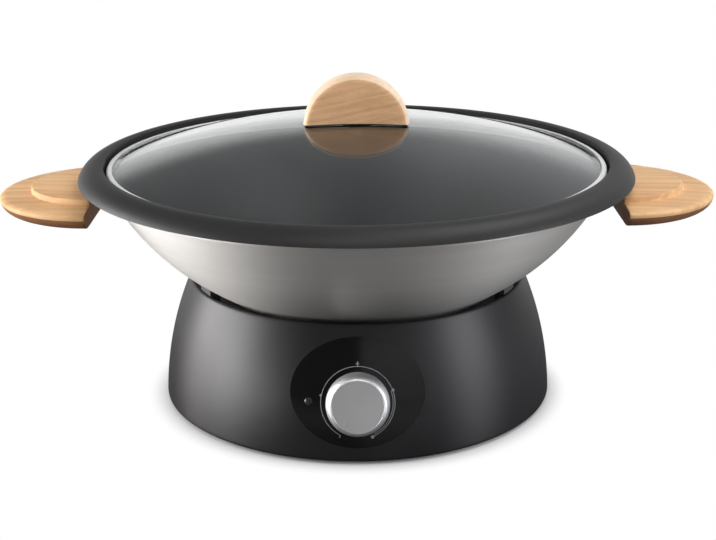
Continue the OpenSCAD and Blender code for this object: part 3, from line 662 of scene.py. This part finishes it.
lipR = collar - pan["lipRound"] * cos(radians(pan["lipStart"]))
lipZ = seatTop + pan["lipRise"] - pan["lipRound"]
lipEnd = degrees(acos((panRadius - lipR) / pan["lipRound"]))
lipUnder = degrees(acos((collar + sheet - lipR) / (pan["lipRound"] - sheet)))
panOutline = ([(0, 0)] + bowlSide(0, seatUnder) + [(collar + sheet, seatUnder)]
              + arc((lipR, lipZ), pan["lipRound"] - sheet, lipUnder, lipEnd, count=14)
              + arc((lipR, lipZ), pan["lipRound"], lipEnd, pan["lipStart"], count=22)
              + [(collar, seatTop)] + bowlSide(sheet, seatTop)[::-1] + [(0, sheet)])
panPiece = turned("wok.pan", [(r, h + panLow[2]) for r, h in panOutline], steps=288)
place(panPiece, "wok", ["wok_bowl"], finishes["wok_steel"], coating, brightEdge)
# bare steel outside, the coating inside and over the lip, and the lip's cut edge bright
for face in panPiece.data.polygons:
    out = hypot(face.center.x, face.center.y)
    atEdge = out > panRadius - pan["edgeWide"] and face.normal.z < pan["edgeTilt"]
    inward = face.normal.x * face.center.x + face.normal.y * face.center.y < 0
    coated = face.normal.z > (-pan["coatTilt"] if inward else pan["coatTilt"])
    face.material_index = 2 if atEdge else 1 if coated else 0
smooth(panPiece, angle=38)
print("wok made")

# Each handle is half of a round slab with a full rounded belly, a sloping brim and a raised middle.
# The brim's points are given in from the slab's edge and up from the shoulder.
handle = {"reach": 0.066, "bellyIn": 0.014, "bellyTall": 0.0092, "shoulderIn": 0.005, "shoulderTall": 0.0023,
          "brim": [(0.0120, 0.0003), (0.0180, 0.0005), (0.0195, 0.0006), (0.0202, 0.0010), (0.0204, 0.0016)],
          "crown": 0.016, "crownIn": 0.0214, "crownRound": 0.0009, "steps": 160, "bevel": 0.0007,
          "bevelFrom": 50, "underside": -0.25, "endFace": 0.9}
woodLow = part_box("right_handle")[0]
reach, crownRound = handle["reach"], handle["crownRound"]
shoulderLow = handle["bellyTall"]
brimTop = shoulderLow + handle["shoulderTall"]
loops = (oval((handle["bellyIn"], shoulderLow), handle["bellyIn"], shoulderLow, -90, -180, count=10)
         + oval((handle["shoulderIn"], shoulderLow), handle["shoulderIn"], handle["shoulderTall"], 165, 90,
                count=5)
         + [(inset, brimTop + rise) for inset, rise in handle["brim"]]
         + arc((handle["crownIn"], handle["crown"] - crownRound), crownRound, 180, 90, count=5))
bpy.ops.object.select_all(action="DESELECT")
bpy.ops.mesh.primitive_circle_add(vertices=handle["steps"], radius=reach - loops[0][0], fill_type="NGON",
                                  location=(0, 0, 0))
editAll()
for (inset, height), (nextInset, nextHeight) in zip(loops, loops[1:]):
    bpy.ops.mesh.extrude_region_move(TRANSFORM_OT_translate={"value": (0, 0, nextHeight - height)})
    share = (reach - nextInset) / (reach - inset)
    bpy.ops.transform.resize(value=(share, share, 1), center_override=(0, 0, 0))
bpy.ops.mesh.select_all(action="SELECT")
bpy.ops.mesh.bisect(plane_co=(0, 0, 0), plane_no=(-1, 0, 0), use_fill=True, clear_outer=True)
bpy.ops.object.mode_set(mode="OBJECT")
tidyMesh()
rightHandle = rename("handle.right")
bevelled(rightHandle, handle["bevel"], angle=handle["bevelFrom"])
settle(rightHandle, Matrix.Translation((woodLow[0], 0, woodLow[2])))
leftHandle = copyOf(rightHandle, "handle.left")
settle(leftHandle, Matrix.Scale(-1, 4, (1, 0, 0)))
tidyMesh()
for piece, node in ((rightHandle, "right_handle"), (leftHandle, "left_handle")):
    smooth(piece, angle=30)
    place(piece, "wok", [node], finishes["wood"], endGrainAndPaintedShade)
    # the flat end by the wok is end grain, and it and the underside get much darker wood: partly end grain,
    # partly painted shade
    for face in piece.data.polygons:
        toWok = -face.normal.x if face.center.x > 0 else face.normal.x
        endGrainOrPaintedShade = face.normal.z < handle["underside"] or toWok > handle["endFace"]
        face.material_index = 1 if endGrainOrPaintedShade else 0
print("handles made")

# The lid's glass is a shallow dome with a narrow flat brim, which the band holds
lid = {"glass": 0.004, "rise": 0.0253, "brim": 0.0034, "underBrim": 0.0012, "hole": 0.0037, "rings": 48}
lidBand = {"thick": 0.0008, "round": 0.0016, "toe": 0.0022, "toeRound": 0.0004, "channel": 0.0026,
           "mouthRound": 0.0002, "underGlass": 0.0001}
glassLow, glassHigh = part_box("lid_glass")
bandLow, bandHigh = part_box("lid_band")
glassR, glassZ = glassHigh[0], glassLow[2]
glassBrim = bandHigh[2] - lidBand["thick"]
domeEdge = glassR - lid["brim"]
domeTop = glassBrim + lid["rise"]
domeRadius = (domeEdge ** 2 + lid["rise"] ** 2) / (2 * lid["rise"])


def domeHeight(r, inset=0.0):
    return domeTop - domeRadius + sqrt((domeRadius - inset) ** 2 - r * r)


def domeLine(inset, start, end, count):
    return [(r, domeHeight(r, inset)) for r in spaced(start, end, count)]


glassOutline = (domeLine(0, lid["hole"], domeEdge, lid["rings"])
                + [(glassR, glassBrim), (glassR, glassZ), (domeEdge - lid["underBrim"], glassZ)]
                + domeLine(lid["glass"], lid["hole"], domeEdge - lid["glass"], lid["rings"])[::-1])
glassPiece = turned("lid.glass", glassOutline, steps=256, closed=True)
smooth(glassPiece, angle=38)
place(glassPiece, "lid", ["lid_glass"], finishes["lid_glass"])

# The band's section is a channel that grips the glass, on a leg that stands on the wok's seat
bandR, thick, bandRound = bandHigh[0], lidBand["thick"], lidBand["round"]
bandZ, bandTop = bandLow[2], bandHigh[2]
toeIn, toeRound, mouthRound = bandR - lidBand["toe"], lidBand["toeRound"], lidBand["mouthRound"]
channelIn, channelLow = glassR - lidBand["channel"], glassZ - lidBand["underGlass"]
legIn = bandR - thick
bandOutline = ([(toeIn, bandZ), (bandR - toeRound, bandZ), (bandR, bandZ + toeRound)]
               + arc((bandR - bandRound, bandTop - bandRound), bandRound, 0, 90, count=8)
               + [(channelIn + mouthRound, bandTop), (channelIn, bandTop - mouthRound),
                  (channelIn, glassBrim), (legIn, glassBrim), (legIn, channelLow), (channelIn, channelLow),
                  (channelIn, channelLow - thick), (legIn, channelLow - thick), (legIn, bandZ + thick),
                  (toeIn, bandZ + thick)])
bandPiece = turned("lid.band", bandOutline, steps=256, closed=True)
smooth(bandPiece, angle=38)
place(bandPiece, "lid", ["lid_band"], finishes["band_steel"])

# The grip is a disc that stands upright, cut to the dome, with a thin seal between it and the glass
grip = {"radius": 0.0344, "thick": 0.020, "edge": 0.0046, "sink": 0.0029, "steps": 160, "flatFace": 0.86,
        "seal": 0.0010, "sealIn": 0.0015, "sealFaceIn": 0.0020, "sealBlock": 0.02, "clear": 0.0001,
        "cutWide": 0.046, "cutDeep": 0.04}
bpy.ops.object.select_all(action="DESELECT")
bpy.ops.mesh.primitive_cylinder_add(vertices=grip["steps"], radius=grip["radius"], depth=grip["thick"],
                                    rotation=(pi / 2, 0, 0), location=(0, 0, domeTop - grip["sink"]))
bpy.ops.object.transform_apply(location=True, rotation=True)
gripPiece = rename("grip.wood")
bevelled(gripPiece, grip["edge"], segments=8)


def domeCutter(lift):
    # the middle of the lid's dome as a solid, lifted a little
    top = [(r, h + lift) for r, h in domeLine(0, 0, grip["cutWide"], count=16)]
    bottom = domeTop - grip["cutDeep"]
    return turned("dome.cutter", top + [(grip["cutWide"], bottom), (0, bottom)], steps=128)


cutBy(gripPiece, domeCutter(grip["seal"] + grip["clear"]))
smooth(gripPiece, angle=28)
place(gripPiece, "lid", ["lid_grip"], gripWood, gripEdgeHighlight)
# the grip's rounded edge is painted paler than its two flat faces, as a painted highlight
for face in gripPiece.data.polygons:
    face.material_index = 0 if abs(face.normal.y) > grip["flatFace"] else 1

sealSize = (2 * (grip["radius"] - grip["sealIn"]), grip["thick"] - 2 * grip["sealFaceIn"], grip["sealBlock"])
bpy.ops.object.select_all(action="DESELECT")
bpy.ops.mesh.primitive_cube_add(size=1, location=(0, 0, domeTop))
bpy.ops.transform.resize(value=sealSize)
bpy.ops.object.transform_apply(location=True, rotation=True, scale=True)
sealPiece = rename("grip.seal")
cutBy(sealPiece, domeCutter(grip["seal"]), "INTERSECT")
cutBy(sealPiece, domeCutter(grip["clear"]))
smooth(sealPiece)
place(sealPiece, "lid", ["grip_seal"], finishes["rubber"])
print("lid made")

weldedParts = {
    "base": ["feet", "bottom_screws", "heat_shield", "shield_screws", "wok_rests", "heating_element",
             "element_supports", "element_bushings", "cord_gland"],
    "wok": ["left_bracket", "right_bracket", "handle_screws"],
    "lid": ["lid_washer", "lid_screw"],
}
for body, nodes in weldedParts.items():
    for node in nodes:
        place(weldedCopy(node), body, [node], finishes[slotOf[node]])
print("small parts made")

# The camera sees pale paper with the object's shadow, and plain white beyond the radii of "shadow".
# Metal and glass see plain white far behind the object. What bounces off the paper is kept dim, and dimmer
# still near the object, as painted shade.
paper = {"size": 30.0, "shadow": (0.122, 0.144), "mirrored": (0.35, 0.8), "colour": (0.9, 0.9, 0.9),
         "rough": 0.2, "bounce": (0.14, 0.34), "bounceNearPaintedShade": (0.05, 0.05, 0.05),
         "bounceFar": (0.20, 0.20, 0.20)}
plainWhite = {"Color": (1, 1, 1), "Strength": 1.0}
bpy.ops.object.select_all(action="DESELECT")
bpy.ops.mesh.primitive_plane_add(size=paper["size"])
floor = rename("floor")
f = Finish("floor")
cameraRay, glossyRay, clearRay = f.rays()
out = (f.x * f.x + f.y * f.y) ** 0.5
far = cameraRay * out.band(*paper["shadow"]) + (glossyRay + clearRay) * f.y.band(*paper["mirrored"])
# the paper seen by bounced rays is darker near the object, as painted shade
bounce = f.blend(out.band(*paper["bounce"]), paper["bounceNearPaintedShade"], paper["bounceFar"])
sheetLook = f.node("ShaderNodeBsdfPrincipled",
                   sockets={"Base Color": f.blend(cameraRay, bounce, paper["colour"]),
                            "Roughness": paper["rough"]})
white = f.node("ShaderNodeEmission", sockets=plainWhite)
f.show(f.node("ShaderNodeMixShader", sockets={0: far, 1: sheetLook, 2: white}))
floor.data.materials.append(f.material)

# Metal and glass see a white backdrop low down behind the object, less white on its right. Elsewhere
# they see a dim room, with a glow from a card in front on the right, from the right side, from behind
# and inside the glass. The pairs are bands of a ray's direction along one axis.
room = {"colour": (0.97, 0.98, 1.0), "dim": 0.05, "inside": 0.02,
        "backdropAhead": (0.6, 0.95), "backdropTop": (0.10, 0.36), "backdropRight": (0.0, 0.4),
        "rightLess": 0.3,
        "card": 0.3, "cardRight": (-0.02, 0.08), "cardNear": (0.2, 0.6), "cardTop": (0.3, 0.6),
        "side": 0.12, "sideRight": (0.0, 0.6), "sideUp": (0.1, 0.3),
        "behind": 0.20, "behindAhead": (0.0, 0.4), "behindUp": (-0.05, 0.15), "behindRight": (-0.02, 0.16),
        "rightMore": 1.2}
world = bpy.data.worlds.new("studio")
bpy.context.scene.world = world
world.use_nodes = True
w = Shading(world.node_tree, "ShaderNodeOutputWorld")
x, y, z = w.axes(w.node("ShaderNodeTexCoord", output="Generated"))
cameraRay, glossyRay, clearRay = w.rays()
backdrop = (y.band(*room["backdropAhead"]) * (1 - z.band(*room["backdropTop"]))
            * (1 - x.band(*room["backdropRight"]) * room["rightLess"]))
seen = w.math("MINIMUM", cameraRay + (glossyRay + clearRay) * backdrop, 1.0)
card = x.band(*room["cardRight"]) * (-1 * y).band(*room["cardNear"]) * (1 - z.band(*room["cardTop"]))
side = x.band(*room["sideRight"]) * z.band(*room["sideUp"])
behind = (y.band(*room["behindAhead"]) * z.band(*room["behindUp"])
          * (x.band(*room["behindRight"]) * room["rightMore"] + 1))
glow = (card * room["card"] + side * room["side"] + behind * room["behind"] + clearRay * room["inside"]
        + room["dim"])
dimRoom = w.node("ShaderNodeBackground", sockets={"Color": room["colour"], "Strength": glow})
white = w.node("ShaderNodeBackground", sockets=plainWhite)
w.show(w.node("ShaderNodeMixShader", sockets={0: seen, 1: dimRoom, 2: white}))

# Every softbox is turned towards the middle of the object
softboxes = {
    "left": {"at": (-1.28, 0.0, 0.28), "size": (1.15, 0.54), "power": 21, "colour": (1.0, 0.98, 0.98)},
    "low": {"at": (-0.95, -0.42, 0.06), "size": (0.8, 0.11), "power": 2.4, "colour": (1.0, 1.0, 1.0)},
    "right": {"at": (1.28, -0.50, 0.37), "size": (0.60, 0.7), "power": 8.5, "colour": (0.95, 0.96, 1.0)},
    "over": {"at": (0.75, 0.05, 1.6), "size": (1.2, 0.9), "power": 14, "colour": (1.0, 1.0, 1.0)},
    "front": {"at": (0.0, -1.05, 1.5), "size": (0.8, 0.7), "power": 8, "colour": (1.0, 1.0, 1.0)},
}
objectMiddle = Vector((0, 0, 0.1))


def softbox(name, at, size, power, colour):
    lamp = bpy.data.lights.new(name, "AREA")
    lamp.shape = "RECTANGLE"
    lamp.size, lamp.size_y = size
    lamp.energy, lamp.color = power, colour
    holder = bpy.data.objects.new(name, lamp)
    bpy.context.collection.objects.link(holder)
    holder.location = at
    holder.rotation_euler = (objectMiddle - Vector(at)).to_track_quat("-Z", "Y").to_euler()


for name, settings in softboxes.items():
    softbox(name, **settings)

# The camera stands where the photograph's perspective puts it. Its pitch is in degrees, its roll in radians.
lensView = {"place": (0.00056, -0.867, 0.3660), "pitch": 18.17, "roll": -0.0055, "focal": 68.08,
            "sensor": 36.0, "clip": 0.01}
camera = bpy.data.cameras.new("view")
camera.lens, camera.sensor_width, camera.clip_start = lensView["focal"], lensView["sensor"], lensView["clip"]
cameraObject = bpy.data.objects.new("view", camera)
bpy.context.collection.objects.link(cameraObject)
cameraObject.matrix_world = (Matrix.Translation(lensView["place"])
                             @ Matrix.Rotation(radians(90 - lensView["pitch"]), 4, "X")
                             @ Matrix.Rotation(lensView["roll"], 4, "Z"))
bpy.context.scene.camera = cameraObject
bpy.context.scene.view_settings.view_transform = "Standard"
print("studio and camera made")
